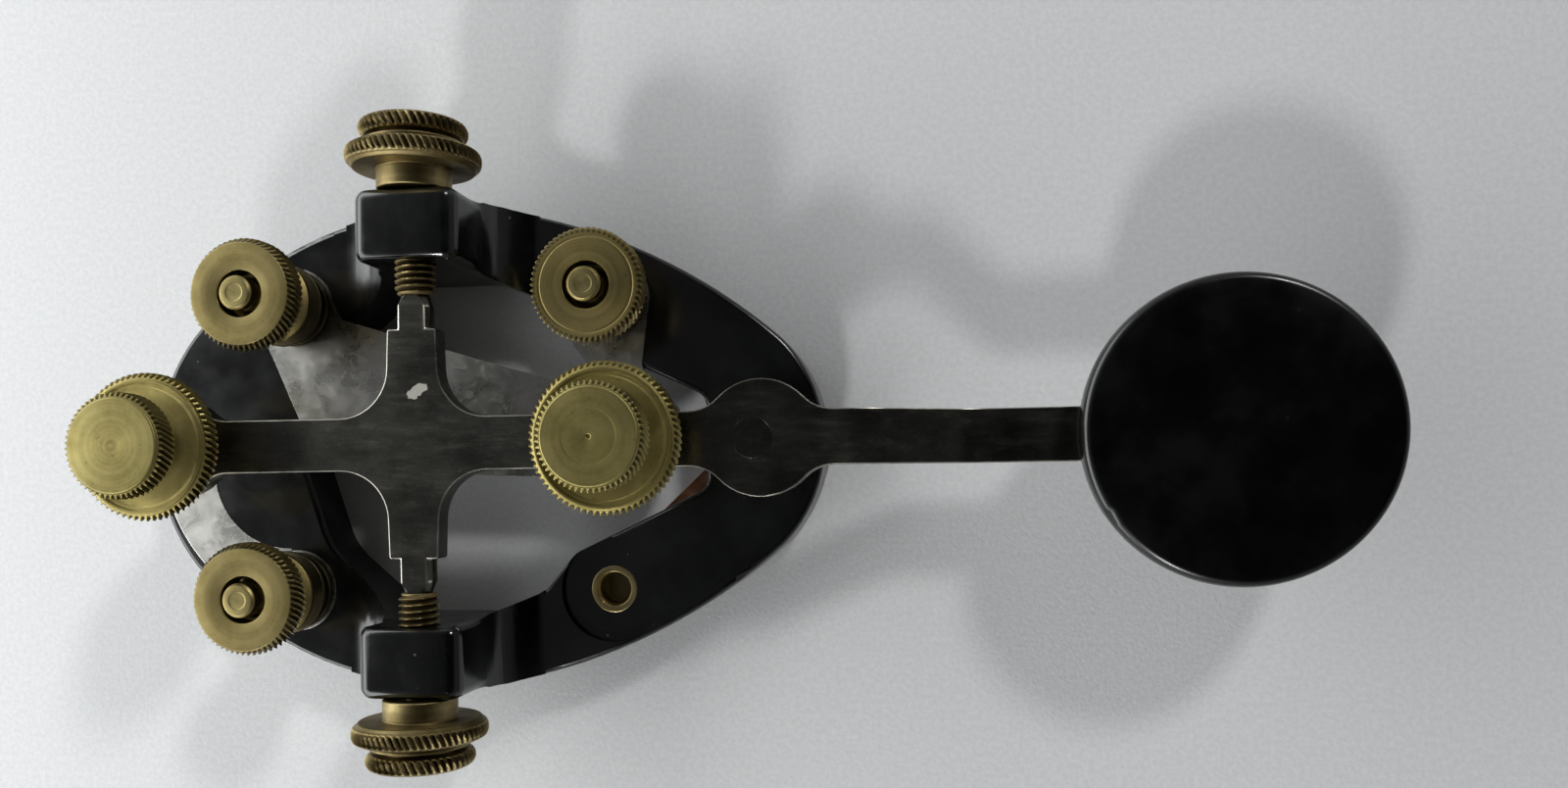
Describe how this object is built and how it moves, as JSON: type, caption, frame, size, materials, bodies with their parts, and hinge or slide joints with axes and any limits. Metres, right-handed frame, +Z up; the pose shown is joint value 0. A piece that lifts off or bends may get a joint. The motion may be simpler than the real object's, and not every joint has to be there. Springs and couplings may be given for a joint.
{
  "type": "straight telegraph key",
  "caption": "Straight telegraph key: rocking steel lever with a flat knob, knurled adjusting screws and terminal posts on a pear-shaped black moulded frame.",
  "frame": {"origin": "on the surface the key stands on, below the middle of its overall length and width", "axes": "+X towards the knob, +Y to the left seen from the tail, +Z up"},
  "size_m": [0.1548, 0.0776, 0.0296],
  "materials": {
    "black_phenolic": "glossy black moulded phenolic, finely scratched",
    "nickel_strip": "nickel-plated strip, mottled with age",
    "copper_strip": "oxidised copper strip",
    "brass_fittings": "plain machined brass",
    "contact_metal": "silvery contact metal",
    "brass_turned": "turned and knurled brass, dull olive tarnish",
    "brass_dark": "dark tarnished brass",
    "lever_steel": "dark brushed steel with bright worn edges",
    "knob_black": "glossy black moulded phenolic",
    "screw_steel": "plain steel",
    "spring_steel": "music wire",
    "brass_patina": "turned and knurled brass, brown patina"
  },
  "bodies": {
    "frame": {"base_frame": "black_phenolic", "common_strap": "nickel_strip", "rear_contact_strap": "nickel_strip", "front_contact_strap": "copper_strip", "spring_seat": "brass_fittings", "rear_anvil": "contact_metal", "fixed_contact": "contact_metal", "insert_front_right": "brass_fittings", "tension_spring": "spring_steel", "insert_rear_left": "brass_fittings", "insert_rear_right": "brass_fittings", "insert_front_left": "brass_fittings", "stud_rear_left": "brass_turned", "stud_rear_right": "brass_turned", "stud_front_left": "brass_turned", "post_collar_rear_left": "brass_dark", "post_collar_rear_right": "brass_dark", "post_collar_front_left": "brass_dark", "washer_rear_left": "brass_dark", "washer_rear_right": "brass_dark", "washer_front_left": "brass_dark"},
    "lever": {"lever": "lever_steel", "lever_contact": "contact_metal", "knob": "knob_black", "knob_insert": "brass_fittings", "knob_screw": "screw_steel", "knob_washer": "screw_steel"},
    "gap_screw": {"gap_screw": "brass_turned"},
    "gap_screw_cap": {"gap_screw_cap": "brass_turned"},
    "gap_lock_nut": {"gap_lock_nut": "brass_turned"},
    "spring_screw": {"spring_screw": "brass_turned"},
    "spring_screw_cap": {"spring_screw_cap": "brass_turned"},
    "spring_lock_nut": {"spring_lock_nut": "brass_turned"},
    "thumb_nut_rear_left": {"thumb_nut_rear_left": "brass_turned"},
    "thumb_nut_rear_right": {"thumb_nut_rear_right": "brass_turned"},
    "thumb_nut_front_left": {"thumb_nut_front_left": "brass_turned"},
    "trunnion_screw_left": {"trunnion_screw_left": "brass_patina"},
    "trunnion_head_left": {"trunnion_head_left": "brass_patina"},
    "trunnion_nut_left": {"trunnion_nut_left": "brass_patina"},
    "trunnion_screw_right": {"trunnion_screw_right": "brass_patina"},
    "trunnion_head_right": {"trunnion_head_right": "brass_patina"},
    "trunnion_nut_right": {"trunnion_nut_right": "brass_patina"}
  },
  "joints": [
    {"name": "lever_pivot", "type": "hinge", "parent": "frame", "child": "lever", "pos_m": [-0.03615, 0, 0.0169], "axis": [0, 1, 0], "range_deg": [0, 1.05], "stiffness_Nm_per_rad": 0.31, "springref_deg": -45.84, "deforming": ["tension_spring"]},
    {"name": "gap_screw_travel", "type": "slide", "parent": "lever", "child": "gap_screw", "axis": [0, 0, 1], "range_m": [0, 0.00159]},
    {"name": "gap_screw_turn", "type": "hinge", "parent": "gap_screw", "child": "gap_screw_cap", "pos_m": [-0.06705, 0, 0.025], "axis": [0, 0, 1], "range_deg": [0, 720]},
    {"name": "spring_screw_travel", "type": "slide", "parent": "lever", "child": "spring_screw", "axis": [0, 0, 1], "range_m": [0, 0.00159], "deforming": ["tension_spring"]},
    {"name": "spring_screw_turn", "type": "hinge", "parent": "spring_screw", "child": "spring_screw_cap", "pos_m": [-0.01115, 0, 0.025], "axis": [0, 0, 1], "range_deg": [0, 720]},
    {"name": "trunnion_screw_left_travel", "type": "slide", "parent": "frame", "child": "trunnion_screw_left", "axis": [0, 1, 0], "range_m": [0, 0.00079375]},
    {"name": "trunnion_screw_left_turn", "type": "hinge", "parent": "trunnion_screw_left", "child": "trunnion_head_left", "pos_m": [-0.03615, 0.037, 0.0169], "axis": [0, 1, 0], "range_deg": [0, 360]},
    {"name": "trunnion_screw_right_travel", "type": "slide", "parent": "frame", "child": "trunnion_screw_right", "axis": [0, -1, 0], "range_m": [0, 0.00079375]},
    {"name": "trunnion_screw_right_turn", "type": "hinge", "parent": "trunnion_screw_right", "child": "trunnion_head_right", "pos_m": [-0.03615, -0.037, 0.0169], "axis": [0, -1, 0], "range_deg": [0, 360]},
    {"name": "gap_lock_nut_turn", "type": "hinge", "parent": "lever", "child": "gap_lock_nut", "pos_m": [-0.06705, 0, 0.022], "axis": [0, 0, 1], "range_deg": [0, 360]},
    {"name": "spring_lock_nut_turn", "type": "hinge", "parent": "lever", "child": "spring_lock_nut", "pos_m": [-0.01115, 0, 0.022], "axis": [0, 0, 1], "range_deg": [0, 360]},
    {"name": "trunnion_nut_left_turn", "type": "hinge", "parent": "frame", "child": "trunnion_nut_left", "pos_m": [-0.03615, 0.034, 0.0169], "axis": [0, 1, 0], "range_deg": [0, 360]},
    {"name": "trunnion_nut_right_turn", "type": "hinge", "parent": "frame", "child": "trunnion_nut_right", "pos_m": [-0.03615, -0.034, 0.0169], "axis": [0, -1, 0], "range_deg": [0, 360]},
    {"name": "thumb_nut_rear_left_turn", "type": "hinge", "parent": "frame", "child": "thumb_nut_rear_left", "pos_m": [-0.05735, 0.0185, 0.014], "axis": [0, 0, 1], "range_deg": [-1060, 360]},
    {"name": "thumb_nut_rear_right_turn", "type": "hinge", "parent": "frame", "child": "thumb_nut_rear_right", "pos_m": [-0.05735, -0.0185, 0.014], "axis": [0, 0, 1], "range_deg": [-1060, 360]},
    {"name": "thumb_nut_front_left_turn", "type": "hinge", "parent": "frame", "child": "thumb_nut_front_left", "pos_m": [-0.01495, 0.0185, 0.014], "axis": [0, 0, 1], "range_deg": [0, 1080]}
  ],
  "couplings": [
    {"joint": "gap_screw_turn", "follows": "gap_screw_travel", "rad_per_m": 7915.8},
    {"joint": "spring_screw_turn", "follows": "spring_screw_travel", "rad_per_m": 7915.8},
    {"joint": "trunnion_screw_left_turn", "follows": "trunnion_screw_left_travel", "rad_per_m": 7915.8},
    {"joint": "trunnion_screw_right_turn", "follows": "trunnion_screw_right_travel", "rad_per_m": 7915.8}
  ]
}
